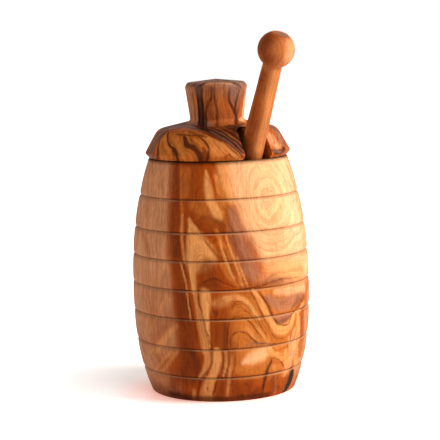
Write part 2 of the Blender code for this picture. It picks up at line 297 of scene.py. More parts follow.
    ("char", 0.7, 0.5, (0.8, 1.1, 1.3, 0.9, 0.6), ((272, 360), (269, 367), (266, 374), (264, 384),
        (262, 396))),
    ("red_brown", 0.7, 0.7, (4, 6.5, 5), ((291, 370), (288, 380), (283, 391))),
    ("char", 1.0, 0.35, (3.6, 5.4, 5.0, 2.6), ((292, 372), (291, 377), (289, 383), (285, 391))),
)

# Thin dark veins of the barrel. Each is (strength, half width, points), in the same pixels.
BARREL_VEINS = (
    # edges of the pale wedges
    (0.4, 0.9, ((186, 222), (185, 240), (186, 258), (188, 270), (191, 288))),
    (0.5, 0.8, ((189, 288), (190, 304), (194, 322), (197, 338), (199, 348))),
    (0.45, 0.8, ((185, 292), (187, 306), (190, 318))),
    (0.3, 0.9, ((190, 219), (198, 227), (205, 240), (213, 251), (222, 261))),
    (0.6, 1.0, ((198, 293), (199, 304), (203, 318), (206, 330), (210, 341), (213, 352), (212, 364),
        (206, 373), (201, 378), (199, 388), (197, 400))),
    (0.7, 1.0, ((220, 372), (217, 380), (215, 389), (211, 400))),
    (0.25, 1.0, ((206, 203), (208, 210), (213, 218), (220, 224))),
    # heartwood right of the middle
    (0.55, 0.9, ((200, 286), (207, 281), (215, 279), (226, 284), (242, 289))),
    (0.6, 0.9, ((222, 243), (225, 252), (229, 262), (234, 276), (242, 289))),
    (0.4, 0.8, ((233, 262), (238, 274), (245, 288))),
    (0.25, 0.7, ((234, 196), (242, 209), (250, 222), (256, 232))),
    # tall ovals of the pale sapwood
    (0.30, 0.8, ((260, 174), (256, 180), (254, 192), (255, 204), (257, 214), (259, 222))),
    (0.16, 0.8, ((251, 168), (249, 184), (249, 202), (253, 218), (260, 229), (269, 234), (280, 231),
        (288, 220))),
    (0.16, 0.8, ((266, 172), (275, 178), (281, 190), (284, 204), (281, 218), (274, 226))),
    (0.14, 0.7, ((244, 166), (243, 184), (244, 204), (249, 222))),
    (0.14, 0.7, ((263, 184), (261, 198), (264, 211), (271, 214), (276, 204))),
    (0.30, 0.9, ((247, 232), (253, 241), (261, 248), (271, 251), (282, 249), (291, 240), (296, 228))),
    (0.14, 0.7, ((250, 226), (256, 236), (265, 243), (277, 243), (287, 236))),
    (0.14, 0.7, ((239, 164), (238, 184), (240, 200))),
    (0.28, 0.7, ((278, 160), (285, 172), (291, 188), (294, 204), (294, 220))),
    (0.22, 0.7, ((283, 160), (290, 174), (296, 192), (298, 206))),
    (0.20, 0.7, ((272, 160), (279, 170), (286, 184), (289, 200))),
    # the dark edge across the middle, and the edges of the patches below it
    (0.6, 0.9, ((240, 289), (252, 288), (266, 284), (282, 279), (303, 277))),
    (0.75, 0.9, ((257, 289), (263, 298), (270, 311), (275, 320), (281, 325), (288, 324), (292, 314),
        (300, 303), (304, 294))),
    (0.6, 0.8, ((248, 289), (254, 298), (260, 310), (266, 322), (272, 334), (279, 339), (290, 337))),
    (0.6, 0.8, ((303, 310), (301, 326), (297, 338), (296, 350))),
    (0.5, 0.8, ((297, 316), (293, 328), (290, 338), (292, 350))),
    (0.4, 0.8, ((306, 316), (305, 332), (301, 350))),
    (0.5, 0.9, ((292, 346), (291, 352), (289, 360))),
    # arches
    (0.6, 0.8, ((230, 313), (234, 304), (240, 301), (246, 305), (252, 312), (259, 322), (265, 333),
        (270, 342))),
    (0.6, 0.9, ((228, 349), (227, 337), (229, 324), (234, 318), (242, 317), (249, 321), (258, 332),
        (265, 341))),
    (0.7, 0.9, ((231, 349), (231, 338), (235, 333), (241, 331), (248, 334), (255, 341), (265, 344),
        (279, 343))),
    (0.4, 0.7, ((233, 312), (238, 307), (244, 309), (252, 317), (260, 328))),
    (0.35, 0.7, ((235, 349), (236, 341), (241, 337), (247, 340), (252, 346))),
    # streaks towards the foot
    (0.5, 0.8, ((235, 352), (235, 364), (232, 378))),
    (0.6, 0.9, ((267, 361), (273, 358), (280, 361), (284, 368), (283, 378))),
)

# Growth rings of the barrel. Each contour is (ring, points) with points as above, and the
# ring count grows by about one a pixel across straight grain.
BARREL_RINGS = (
    (0, ((137, 200), (135, 300), (147, 390))),
    (18, ((155, 165), (152, 250), (158, 340), (170, 398))),
    (36, ((172, 165), (170, 250), (176, 310), (184, 398))),
    (46, ((181, 165), (181, 215), (184, 260), (190, 300), (198, 345), (199, 372), (193, 398))),
    (58, ((204, 180), (206, 205), (214, 215), (222, 226), (231, 245), (240, 262), (250, 280))),
    (56, ((188, 222), (187, 240), (189, 262), (194, 300), (200, 328), (206, 352), (203, 398))),
    (56, ((190, 219), (198, 227), (205, 240), (212, 250), (222, 262), (234, 279))),
    (66, ((205, 262), (207, 290), (209, 310), (211, 340), (214, 398))),
    (68, ((222, 180), (228, 200), (238, 218), (246, 238), (256, 262), (262, 282))),
    (80, ((234, 165), (237, 190), (242, 215), (250, 236), (258, 247), (268, 252), (282, 250), (293, 240))),
    (91, ((246, 166), (247, 190), (252, 215), (262, 232), (276, 236), (288, 225), (292, 202), (287, 180),
        (275, 164))),
    (100, ((257, 175), (254, 190), (256, 208), (262, 220), (271, 224), (280, 213), (282, 196), (277, 183),
        (267, 174), (257, 175))),
    (106, ((266, 190), (268, 202))),
    (78, ((228, 380), (227, 340), (229, 316), (235, 302), (242, 300), (250, 304), (258, 313), (267, 330),
        (275, 345))),
    (90, ((234, 390), (232, 345), (235, 326), (241, 318), (250, 322), (258, 334), (267, 346), (276, 360))),
    (98, ((240, 390), (239, 352), (242, 338), (248, 336), (254, 344), (263, 354))),
    (100, ((248, 392), (250, 362), (256, 358))),
    (66, ((262, 292), (266, 304), (273, 318), (279, 328), (288, 322), (298, 306), (303, 292))),
    (78, ((268, 319), (275, 334), (284, 339), (291, 332), (298, 316))),
    (92, ((300, 322), (299, 345), (296, 360))),
    (100, ((281, 372), (286, 366), (294, 366), (296, 376), (290, 388), (282, 388), (281, 372))),
    (114, ((290, 374), (287, 382))),
    (62, ((270, 282), (285, 278), (300, 277))),
)

# Figure of the lid and knob, in the same terms
LID_STROKES = (
    ("amber", 0.8, 0.7, 13, ((166, 142), (185, 146), (206, 146))),
    ("amber", 1.0, 0.5, 6, ((163, 138), (164, 150), (165, 160))),
    ("amber", 0.75, 0.5, 6, ((176, 142), (181, 150), (187, 158))),
    ("straw", 0.3, 0.7, 4, ((213, 148), (220, 154))),
    ("straw", 0.45, 0.6, (2, 3.5, 4, 3), ((208, 138), (220, 144), (231, 152), (240, 160))),
    ("russet", 0.7, 0.6, 4.5, ((194, 140), (201, 148), (205, 158))),
    ("amber", 0.9, 0.5, (2, 3, 2), ((194, 139), (200, 144), (202, 150))),
    # grey streaks on the left and over the top, a painted sheen where the wood faces the bright room
    ("smoke_and_sheen", 0.85, 0.5, (6, 7, 7), ((150, 154), (154, 142), (163, 131))),
    ("smoke_and_sheen", 0.85, 0.5, (5, 6, 6, 4), ((164, 129), (178, 127), (190, 127), (200, 130))),
    ("smoke_and_sheen", 0.9, 0.6, 8, ((172, 126), (192, 124), (206, 125))),
    ("umber", 0.7, 0.6, 1.5, ((147, 155), (152, 144), (158, 134), (168, 128))),
    ("umber", 0.8, 0.5, 1.6, ((158, 160), (158, 148), (161, 138), (168, 131), (180, 129))),
    ("umber", 0.6, 0.6, 1.2, ((153, 158), (155, 147), (159, 138), (164, 132))),
    ("red_brown", 0.5, 0.7, 1.2, ((150, 157), (153, 147), (158, 137))),
    ("umber", 0.5, 0.6, 1.2, ((172, 132), (184, 131), (196, 134), (206, 137))),
    ("umber", 0.5, 0.6, 1.2, ((170, 126), (182, 124), (192, 125))),
    ("umber", 0.5, 0.6, 1.0, ((178, 128), (188, 127), (197, 130), (204, 134))),
    # dark streaks on the front
    ("umber", 0.95, 0.45, (1.2, 1.0, 1.3, 1.9, 1.9), ((168, 133), (168, 142), (171, 147), (175, 151),
        (178, 161))),
    ("umber", 0.7, 0.5, 1.0, ((171, 147), (173, 152), (174, 161))),
    ("red_brown", 0.8, 0.5, (1, 3, 4, 4), ((203, 148), (205, 153), (206, 157), (207, 162))),
    ("umber", 0.95, 0.4, (1.6, 3, 2.8, 2.6, 3, 3), ((184, 137), (187, 145), (192, 147), (196, 150),
        (199, 155), (201, 161))),
    ("umber", 0.9, 0.5, (0.8, 1.2, 1.2, 1.2), ((199, 137), (205, 142), (209, 149), (207, 161))),
    ("umber", 0.7, 0.6, 1.1, ((176, 134), (188, 135), (202, 136))),
    # dark diagonal streaks from the knob's foot to the notch
    ("red_brown", 1.0, 0.4, (5, 8, 7, 6), ((203, 128), (218, 132), (232, 139), (244, 149))),
    ("umber", 0.7, 0.8, (4, 7, 6, 4), ((204, 129), (220, 132), (233, 137), (244, 147))),
    ("char", 0.8, 0.5, 1.0, ((196, 128), (206, 131), (220, 137), (232, 146), (243, 157))),
    ("smoke_and_sheen", 0.4, 0.4, 0.8, ((200, 128), (213, 133), (227, 141), (243, 155))),
    ("char", 0.8, 0.5, 1.0, ((204, 128), (217, 133), (230, 141), (243, 153))),
    ("smoke_and_sheen", 0.35, 0.4, 0.8, ((208, 128), (221, 133), (233, 141), (243, 151))),
    ("char", 0.8, 0.5, 1.0, ((212, 128), (224, 133), (235, 141), (243, 149))),
    ("amber", 0.35, 0.4, 0.8, ((216, 128), (228, 134), (238, 141), (243, 146))),
    ("char", 0.8, 0.5, 1.0, ((221, 128), (232, 134), (242, 142))),
    ("char", 0.9, 0.6, (2.5, 3, 2), ((196, 126), (202, 128), (208, 131))),
    ("umber", 0.9, 0.6, (3, 4, 4), ((228, 127), (235, 130), (241, 134))),
    ("char", 0.9, 0.6, 3, ((231, 126), (241, 128))),
    # right of the notch
    ("tan", 0.9, 0.5, 7, ((270, 138), (277, 145))),
    ("cream", 0.4, 0.6, 3, ((271, 136), (275, 144))),
    ("smoke_and_sheen", 0.8, 0.7, 5, ((277, 133), (283, 143))),
    ("smoke_and_sheen", 0.9, 0.5, (2, 3, 3), ((268, 127), (276, 129), (282, 136))),
    ("umber", 0.6, 0.5, (1.4, 2, 2, 1), ((273, 127), (280, 133), (284, 140), (285, 146))),
    ("smoke_and_sheen", 0.8, 0.6, 1.4, ((284, 134), (288, 144), (288, 150))),
    ("umber", 0.9, 0.5, (1.5, 2.6, 3, 2.4), ((272, 150), (276, 152), (281, 152), (284, 148))),
    ("smoke_and_sheen", 0.7, 0.6, 1.2, ((273, 151), (281, 152))),
    # knob: upright streaks
    ("tan", 0.25, 0.9, 16, ((222, 94), (222, 122))),
    ("russet", 0.3, 0.9, 16, ((222, 104), (222, 124))),
    ("tan", 0.8, 0.6, 7, ((189, 90), (194, 121))),
    # a painted highlight down the knob's right edge
    ("cream", 0.9, 0.6, 3.0, ((246, 90), (242, 121))),
    ("amber", 0.7, 0.6, 4, ((222, 88), (222, 106))),
    ("umber", 0.9, 0.5, (3.6, 3.0, 3.0, 3.0), ((198, 85), (200, 98), (201, 110), (201, 126))),
    ("char", 0.95, 0.4, 1.3, ((196, 85), (198, 98), (199, 110), (199, 126))),
    ("char", 0.95, 0.4, (1.3, 1.1, 1.2, 2.2), ((201, 85), (202, 98), (203, 112), (203, 127))),
    ("umber", 0.95, 0.5, (1.0, 1.1, 1.7, 1.0, 1.0), ((211, 87), (211, 98), (208, 104), (206, 110),
        (206, 127))),
    ("russet", 0.7, 0.6, 2, ((208, 102), (206, 110))),
    ("red_brown", 0.9, 0.5, (1.2, 1, 1.2, 1.8), ((214, 87), (215, 100), (217, 112), (217, 127))),
    ("plum", 0.9, 0.5, (4, 5, 4.4, 2.4, 1.6), ((234, 88), (235, 98), (236, 107), (236, 114), (236, 121))),
    ("smoke_and_sheen", 0.7, 0.6, 1.6, ((234, 88), (234, 102))),
    ("umber", 0.95, 0.5, (1.2, 1.4, 1.8, 1.6), ((230, 88), (229, 99), (232, 107), (235, 113))),
    ("umber", 0.95, 0.5, (1.1, 1.3, 1.6, 1.8, 1.8), ((240, 88), (237, 98), (235, 108), (236, 116),
        (236, 124))),
    ("umber", 0.5, 0.6, 1.6, ((240, 96), (239, 106), (237, 114))),
    ("umber", 0.4, 0.9, (5, 4.5, 4, 3, 2), ((235, 86), (234, 96), (235, 105), (236, 114), (237, 122))),
    ("russet", 0.5, 0.8, 2, ((226, 92), (226, 108), (228, 118))),
    ("char", 0.7, 0.6, (1.4, 2.4, 2.4), ((228, 125), (236, 126), (243, 124))),
    ("umber", 0.8, 0.6, 1.4, ((192, 125), (206, 127), (222, 127), (240, 124))),
    # crown of the knob, under a painted grey sheen
    ("smoke_and_sheen", 0.9, 0.3, 22, ((208, 80), (226, 80))),
    ("smoke_and_sheen", 0.8, 0.6, 4, ((191, 84), (214, 82), (242, 84))),
    ("umber", 0.8, 0.5, 1.3, ((198, 86), (208, 82), (220, 81), (232, 80))),
    ("umber", 0.5, 0.6, 1.0, ((192, 86), (200, 82), (214, 80))),
    ("char", 0.6, 0.6, 1.6, ((224, 81), (234, 83), (242, 87))),
    ("straw", 0.5, 0.6, 1.0, ((206, 84), (222, 83), (232, 84))),
    ("plum", 0.6, 0.5, 2, ((240, 84), (245, 89))),
)
LID_VEINS = (
    # front
    (0.8, 0.9, ((226, 152), (230, 155), (236, 160))),
    (0.7, 0.8, ((222, 160), (226, 156), (231, 155))),
    (0.4, 0.8, ((212, 136), (216, 145), (224, 152))),
    # from the knob's foot to the notch
    (0.95, 0.9, ((198, 130), (207, 134), (219, 140), (231, 149), (242, 159))),
    # right of the notch
    (0.7, 0.9, ((270, 132), (274, 140), (275, 148))),
    (0.5, 0.8, ((275, 134), (279, 142), (279, 150))),
    # knob
    (0.6, 0.9, ((192, 88), (194, 104), (196, 122))),
    (0.5, 0.8, ((188, 90), (191, 106), (192, 121))),
    (0.3, 0.8, ((190, 88), (193, 108))),
)

# Growth rings of the lid and knob
LID_RINGS = (
    (0, ((148, 156), (155, 140), (168, 128))),
    (20, ((168, 132), (168, 142), (174, 151), (178, 160))),
    (36, ((184, 137), (188, 147), (196, 151), (202, 160))),
    (50, ((199, 136), (206, 144), (209, 152), (209, 160))),
    (66, ((200, 130), (214, 135), (228, 144), (242, 157))),
    (100, ((216, 128), (230, 134), (242, 146))),
    (126, ((269, 135), (272, 146), (272, 156))),
    (144, ((282, 135), (287, 150))),
    (8, ((189, 90), (192, 106), (194, 121))),
    (26, ((199, 87), (200, 106), (201, 124))),
    (42, ((211, 87), (210, 98), (206, 106), (206, 124))),
    (56, ((219, 87), (218, 124))),
    (72, ((230, 90), (230, 102), (235, 114), (236, 122))),
    (84, ((241, 90), (239, 106), (238, 121))),
)

# Figure of the dipper, in the same terms, with painted shade down the left of its handle and ball and
# painted light down their right. Its rings follow from its place.
DIPPER_STROKES = (
    ("russet", 0.9, 0.9, 5, ((263, 74), (255, 110), (244, 158))),
    ("russet", 0.5, 0.9, 4, ((261, 110), (251, 158))),
    ("cream", 0.75, 0.9, 4.4, ((282, 70), (275, 100), (269, 128), (263, 156))),
    ("straw", 0.5, 0.9, 3, ((275, 72), (267, 110), (258, 150))),
    ("red_brown", 0.9, 0.9, 9, ((268, 38), (262, 50), (266, 60))),
    ("russet", 0.7, 0.9, 5, ((272, 34), (284, 36))),
    ("cream", 0.6, 0.9, 6, ((292, 46), (290, 58))),
    ("smoke_and_sheen", 0.9, 0.4, 3.6, ((279, 33), (286, 36))),
)
DIPPER_VEINS = (
    (0.25, 0.8, ((262, 48), (266, 60))),
    (0.3, 0.8, ((257, 100), (250, 130))),
)

# How the figure is laid on the wood. A warp is (size of its waves, greatest shift).
STROKE_STEP = 2.5
RING_POINT_STEP = 8.0
WARP_WAVES = 24
FINE_WARP = (0.0035, 0.35 * PIXEL)
BACK_WARP = (0.0300, 26.0 * PIXEL)
BACK_DEPTH = 0.026
RING_SLACK = 2.0
TINY = 1e-12
VEIN_REACH = 4.0
VEIN_TAPER = 7.0
VEIN_TIP = 0.3
JAR_SEED = 7
LID_SEED = 21
DIPPER_SEED = 35
JAR_LINES = 0.42
LID_LINES = 0.75
DIPPER_LINES = 0.30
DIPPER_RING_SLANT = 0.3
# Painted shade on the walls of the lid's notch: the shares left on its left and right, and how near a wall
# a point must be
NOTCH_SHADES = (0.05, 0.9)
NOTCH_WALL = 0.00005
# Painted shade under the lid's overhang: its height below the rim, and the share of colour left at the rim
RIM_LINE = 0.0016
RIM_SHADE = 0.12

# Painted shade on a groove's upper wall, and dust with a painted highlight on its lower lip: (half widths
# above its middle), (shares)
GROOVE_SHADE = 0.42
SHADE_ON_WALL = ((-0.5, -0.2, 0.85, 1.15), (0.0, 1.0, 1.0, 0.0))
DUST_AND_HIGHLIGHT_ON_LIP = ((-1.6, -1.15, -0.5, -0.2), (0.0, 1.0, 1.0, 0.0))

# Grain of the wood: noises as (waves, detail, roughness), with waves a metre across, across
# and along the grain
WANDER = ((160.0, 160.0, 160.0), 3.0, 0.5)
MOTTLE = ((75.0, 75.0, 75.0), 4.0, 0.6)
FIBRES = ((1050.0, 1050.0, 75.0), 3.0, 0.6)
PORES = ((2300.0, 2300.0, 260.0), 2.0, 0.5)

# Noises with waves a growth ring and waves a pixel along the grain. The third number only
# sets them apart.
STREAKS = ((0.55, 0.03, 0.0), 5.0, 0.65)
GROWTH_LINES = ((0.16, 0.006, 3.0), 4.0, 0.7)

# How noises become looks: (from low, from high, to low, to high)
WANDER_RINGS = (0.3, 0.7, -1.2, 1.2)
NOISE_MIDDLE = 0.5
LINE_SHARE = (0.0, 0.028, 1.0, 0.0)
PORE_SHARE = (0.60, 0.70, 0.0, 1.0)
STREAK_SHADES = (0.25, 0.75, 0.78, 1.20)
MOTTLE_SHADES = (0.3, 0.7, 0.90, 1.09)
FIBRE_SHADES = (0.3, 0.7, 0.86, 1.12)
VEIN_WAVER = (0.3, 0.7, -0.5, 0.5)
VEIN_SHARE = (VEIN_REACH - 1.5, VEIN_REACH - 0.2, 0.0, 1.0)
VEIN_GAIN = 1.25
DUST_AND_HIGHLIGHT_SHARE = (0.35, 0.65, 0.25, 0.8)
STREAK_ROUGHNESS = (0.3, 0.7, 0.46, 0.36)
PORE_ROUGHNESS = 0.15
DUST_ROUGHNESS = 0.3
STREAK_RELIEF = 0.5
BUMP_STRENGTH = 0.35
BUMP_HEIGHT = 0.00012
WOOD_SPECULAR = 0.03
PORE_STRENGTH = 0.30
DUST_AND_HIGHLIGHT_COLOUR = (182, 134, 96)

# Shares of the wood's red, green and blue that are left in its marks, and its opacity
LINE_TINT = (0.55, 0.34, 0.20, 1.0)
PORE_TINT = (0.45, 0.30, 0.22, 1.0)
VEIN_TINT = (0.24, 0.12, 0.06, 1.0)
WHITE = (1.0, 1.0, 1.0, 1.0)

# Light: a soft key from the right, a weaker fill from the left, and a white room. Each light
# is (name, azimuth and elevation in degrees, distance, size, power, colour).
LIGHTS = (
    ("key", 38.0, 33.0, 0.9, 0.45, 11.8, (1.0, 0.98, 0.95)),
    ("fill", -100.0, 25.0, 1.0, 0.7, 2.4, (1.0, 0.98, 0.96)),
)
ROOM_LIGHT = 0.34

# Floor: pale, and lit by its own glow. A painted shadow makes the glow weaker near the jar,
# and weakest behind it on the left, away from the key. A painted reflection of the foot's warm
# colour shows on the floor before it.
FLOOR_SIZE = 6.0
FLOOR_COLOUR = (246, 239, 234)
FLOOR_ROUGHNESS = 0.35
FLOOR_GLOW = 0.62
FLOOR_BOUNCE = 0.25
FLOOR_NEAR = 0.045
FLOOR_FAR = 0.14
SHADE_PLACE = (-0.012, 0.034, 0.0)
SHADE_GLOW = 0.44
SHADE_COLOUR = (255, 244, 238)
SHADE_NEAR = 0.015
SHADE_FAR = 0.078
FOOT_REFLECTION_PLACE = (-0.020, -0.010, 0.0)
FOOT_REFLECTION_COLOUR = (250, 172, 154)
FOOT_REFLECTION_SIDE = 0.060
FOOT_REFLECTION_FAR = 0.051


def linear(colour):
    """An sRGB colour from 0 to 255 as linear numbers."""
    share = np.array(colour, float) / 255
    return np.where(share <= 0.04045, share / 12.92, ((share + 0.055) / 1.055) ** 2.4)


def camera_matrix():
    outward = Vector((
        math.sin(CAMERA_AZIMUTH) * math.cos(CAMERA_PITCH),
        -math.cos(CAMERA_AZIMUTH) * math.cos(CAMERA_PITCH),
        math.sin(CAMERA_PITCH),
    ))
    look = (-outward).to_track_quat("-Z", "Y").to_matrix().to_4x4()
    place = Matrix.Translation(CAMERA_TARGET + outward * CAMERA_DISTANCE)
    return place @ look @ Matrix.Rotation(-CAMERA_ROLL, 4, "Z")


def rounded(corners):
    """Turns (radius, height, rounding) corners into an outline with arcs at its corners."""
    outline = []
    for index, (radius, height, rounding) in enumerate(corners):
        here = Vector((radius, height))
        if rounding == 0.0:
            outline.append(here)
            continue
        before = (Vector(corners[index - 1][:2]) - here).normalized()
        after = (Vector(corners[index + 1][:2]) - here).normalized()
        half_angle = before.angle(after) / 2
        centre = here + (before + after).normalized() * rounding / math.sin(half_angle)
        setback = rounding / math.tan(half_angle)
        first_spoke = here + before * setback - centre
        last_spoke = here + after * setback - centre
        for step in range(ARC_STEPS + 1):
            spoke = first_spoke.lerp(last_spoke, step / ARC_STEPS)
            outline.append(centre + spoke.normalized() * rounding)
    return outline


def subdivided(outline, longest):
    """The outline with points added so that no side is longer than `longest`."""
    points = [outline[0]]
    for start, end in zip(outline, outline[1:]):
        parts = max(1, math.ceil((end - start).length / longest))
        points += [start.lerp(end, part / parts) for part in range(1, parts + 1)]
    return points


def turned(name, outline, sides):
    """Turns an outline into a closed piece. It starts and ends on the Z axis, and the wood
    lies on its right hand when it is followed in the plane of radius and height."""
    angles = math.tau * np.arange(sides) / sides
    spokes = np.column_stack((np.sin(angles), -np.cos(angles)))
    inner = np.array(outline[1:-1])
    points = np.empty((len(inner), sides, 3))
    points[:, :, :2] = inner[:, None, :1] * spokes[None]
    points[:, :, 2] = inner[:, None, 1]
    ends = [(0.0, 0.0, outline[0].y), (0.0, 0.0, outline[-1].y)]
    first, last = points.size // 3, points.size // 3 + 1
    here = np.arange(sides)
    beside = (here + 1) % sides
    faces = [(first, a, b) for a, b in zip(here, beside)]
    for row in range(len(inner) - 1):
        upper, lower = row * sides, (row + 1) * sides
        faces += zip(upper + here, lower + here, lower + beside, upper + beside)
    faces += [(last, lower + b, lower + a) for a, b in zip(here, beside)]
    mesh = bpy.data.meshes.new(name)
    mesh.from_pydata(np.vstack((points.reshape(-1, 3), ends)).tolist(), [], faces)
    mesh.validate()
    mesh.shade_smooth()
    mesh.set_sharp_from_angle(angle=SHARP_ANGLE)
    piece = bpy.data.objects.new(name, mesh)
    bpy.context.scene.collection.objects.link(piece)
    return piece


def barrel_radius(height):
    """Outer radius of the barrel before its grooves are cut."""
    if height > BELLY_HEIGHT:
        share = (height - BELLY_HEIGHT) / (JAR_HEIGHT - BELLY_HEIGHT)
        return BELLY_RADIUS - (BELLY_RADIUS - RIM_RADIUS) * share ** UPPER_SWELL
    share = (BELLY_HEIGHT - height) / BELLY_HEIGHT
    return BELLY_RADIUS - (BELLY_RADIUS - FOOT_RADIUS) * share ** LOWER_SWELL


def hollow_radius(height):
    """Inner radius of the jar between its floor and its mouth."""
    if height > HOLLOW_HEIGHT:
        share = (height - HOLLOW_HEIGHT) / (JAR_HEIGHT - HOLLOW_HEIGHT)
        return HOLLOW_RADIUS - (HOLLOW_RADIUS - MOUTH_RADIUS) * share ** HOLLOW_SWELL
    share = (HOLLOW_HEIGHT - height) / (HOLLOW_HEIGHT - FLOOR_THICKNESS)
    return HOLLOW_RADIUS - (HOLLOW_RADIUS - HOLLOW_FOOT_RADIUS) * share ** HOLLOW_SWELL


def groove_cut(height):
    """Depth of the wood cut away at this height: 0 on a band, GROOVE_DEPTH in a groove."""
    nearest = min(abs(height - groove) for groove in GROOVE_HEIGHTS)
    share = nearest / GROOVE_HALF_WIDTH
    return GROOVE_DEPTH / (1 + share ** GROOVE_STEEPNESS) if share < GROOVE_REACH else 0.0


def barrel_rows():
    """Heights of the points down the outside, from below the rim to above the foot."""
    rows = []
    edge = GROOVE_ROWS[-1] * GROOVE_HALF_WIDTH
    top = JAR_HEIGHT - 2 * EDGE_ROUNDING
    for groove in reversed(GROOVE_HEIGHTS):
        rows += np.linspace(top, groove + edge, BAND_ROWS + 1).tolist()
        rows += [groove - share * GROOVE_HALF_WIDTH for share in GROOVE_ROWS[1:-1]]
        top = groove - edge
    return rows + np.linspace(top, 2 * EDGE_ROUNDING, BAND_ROWS + 1).tolist()


def band_crown(height):
    """How far the bands' slightly rounded faces fall back at this height."""
    edges = [0.0, *GROOVE_HEIGHTS, JAR_HEIGHT]
    for low, high in zip(edges, edges[1:]):
        if low <= height <= high:
            share = (2 * height - low - high) / (high - low)
            return BAND_CROWN * share ** 2
    return 0.0


def make_jar():
    corners = [
        (0.0, FLOOR_THICKNESS, 0.0),
        (hollow_radius(FLOOR_THICKNESS), FLOOR_THICKNESS, HOLLOW_CORNER),
    ]
    bottom = FLOOR_THICKNESS + 2 * HOLLOW_CORNER
    top = JAR_HEIGHT - 2 * EDGE_ROUNDING
    for step in range(HOLLOW_ROWS + 1):
        height = bottom + (top - bottom) * step / HOLLOW_ROWS
        corners.append((hollow_radius(height), height, 0.0))
    corners.append((hollow_radius(JAR_HEIGHT), JAR_HEIGHT, EDGE_ROUNDING))
    corners.append((barrel_radius(JAR_HEIGHT), JAR_HEIGHT, EDGE_ROUNDING))
    for height in barrel_rows():
        fall = groove_cut(height) + band_crown(height)
        corners.append((barrel_radius(height) - fall, height, 0.0))
    corners.append((barrel_radius(0.0), 0.0, EDGE_ROUNDING))
    corners.append((0.0, 0.0, 0.0))
    outline = rounded(corners)
    inside = subdivided(outline[:2], FLAT_STEP)
    underneath = subdivided(outline[-2:], FLAT_STEP)
    return turned("jar_wood", inside + outline[2:-2] + underneath, JAR_SIDES)


def notch_cutter():
    """A U-shaped block through the lid's front edge, which leans outwards like the dipper."""
    outline = [(NOTCH_HALF_WIDTH, -LID_RADIUS, NOTCH_LOW)]
    for step in range(NOTCH_STEPS + 1):
        angle = math.pi * step / NOTCH_STEPS
        x = NOTCH_HALF_WIDTH * math.cos(angle)
        y = NOTCH_HALF_WIDTH * math.sin(angle)
        outline.append((x, y, NOTCH_LOW))
    outline.append((-NOTCH_HALF_WIDTH, -LID_RADIUS, NOTCH_LOW))
    block = bmesh.new()
    base = block.faces.new([block.verts.new(point) for point in outline])
    grown = bmesh.ops.extrude_face_region(block, geom=[base])
    top = [item for item in grown["geom"] if isinstance(item, bmesh.types.BMVert)]
    bmesh.ops.translate(block, verts=top, vec=(0.0, 0.0, NOTCH_HIGH - NOTCH_LOW))
    upright = [edge for edge in block.edges if edge.verts[0].co.z != edge.verts[1].co.z]
    bmesh.ops.subdivide_edges(block, edges=upright, cuts=NOTCH_ROWS - 1, use_grid_fill=True)
    bmesh.ops.recalc_face_normals(block, faces=block.faces[:])
    mesh = bpy.data.meshes.new("notch_cutter")
    block.to_mesh(mesh)
    block.free()
    cutter = bpy.data.objects.new("notch_cutter", mesh)
    cutter.location = NOTCH_AT_RIM
    cutter.rotation_euler.x = DIPPER_LEAN
    bpy.context.scene.collection.objects.link(cutter)
    return cutter


def cut_away(piece, cutter):
    """Cuts the cutter's shape out of the piece and removes the cutter."""
    cut = piece.modifiers.new("Notch", "BOOLEAN")
    cut.operation = "DIFFERENCE"
    cut.solver = "EXACT"
    cut.object = cutter
    graph = bpy.context.evaluated_depsgraph_get()
    whole = piece.data
    piece.data = bpy.data.meshes.new_from_object(piece.evaluated_get(graph), depsgraph=graph)
    piece.data.name = piece.name
    piece.modifiers.clear()
    bpy.data.meshes.remove(whole)
    bpy.data.objects.remove(cutter)
    piece.data.set_sharp_from_angle(angle=SHARP_ANGLE)


def make_lid():
    corners = [
        (0.0, KNOB_TOP_HEIGHT, 0.0),
        (KNOB_CROWN_RADIUS, KNOB_CROWN_HEIGHT, CROWN_ROUNDING),
        (KNOB_RADIUS, KNOB_EDGE_HEIGHT, KNOB_ROUNDING),
        (KNOB_FOOT_RADIUS, KNOB_FOOT_HEIGHT, KNOB_ROUNDING),
        (SHOULDER_RADIUS, SHOULDER_HEIGHT, SHOULDER_ROUNDING),
        (LID_RADIUS, LID_EDGE_HEIGHT, LID_ROUNDING),
        (LID_SEAT_RADIUS, LID_SEAT, 0.0),
        (SPIGOT_RADIUS, LID_SEAT, 0.0),
        (SPIGOT_RADIUS, SPIGOT_LOW, SPIGOT_ROUNDING),
        (0.0, SPIGOT_LOW, 0.0),
    ]
    lid = turned("lid_wood", subdivided(rounded(corners), LID_STEP), LID_SIDES)
    cut_away(lid, notch_cutter())
    return lid


def head_corners(end):
    """Corners down the dipper's ringed head, which is widest above its middle."""
    corners = []
    pitch = HEAD_LENGTH / HEAD_RINGS
    for ring in range(HEAD_RINGS):
        top = end + HEAD_LENGTH - ring * pitch
        bottom = top - pitch + RING_GAP
        for height in (top, bottom):
            share = (height - end) / HEAD_LENGTH
            bulge = math.sin(math.pi * share ** HEAD_BULGE)
            radius = HEAD_TIP_RADIUS + (HEAD_RADIUS - HEAD_TIP_RADIUS) * bulge
            corners.append((radius, height, RING_ROUNDING))
        if ring < HEAD_RINGS - 1:
            corners.append((radius - RING_GAP_DEPTH, bottom, 0.0))
            corners.append((radius - RING_GAP_DEPTH, bottom - RING_GAP, 0.0))
    return corners


def ball_outline():
    """Outline down the dipper's ball, from its small flat end to the neck."""
    first = math.asin(BALL_END_RADIUS / BALL_RADIUS)
    last = math.pi - math.asin(NECK_RADIUS / BALL_RADIUS)
    centre = Vector((0.0, BALL_REACH))
    outline = [Vector((0.0, BALL_REACH + BALL_RADIUS * math.cos(first)))]
    for step in range(BALL_STEPS + 1):
        angle = first + (last - first) * step / BALL_STEPS
        outline.append(centre + Vector((math.sin(angle), math.cos(angle))) * BALL_RADIUS)
    return outline


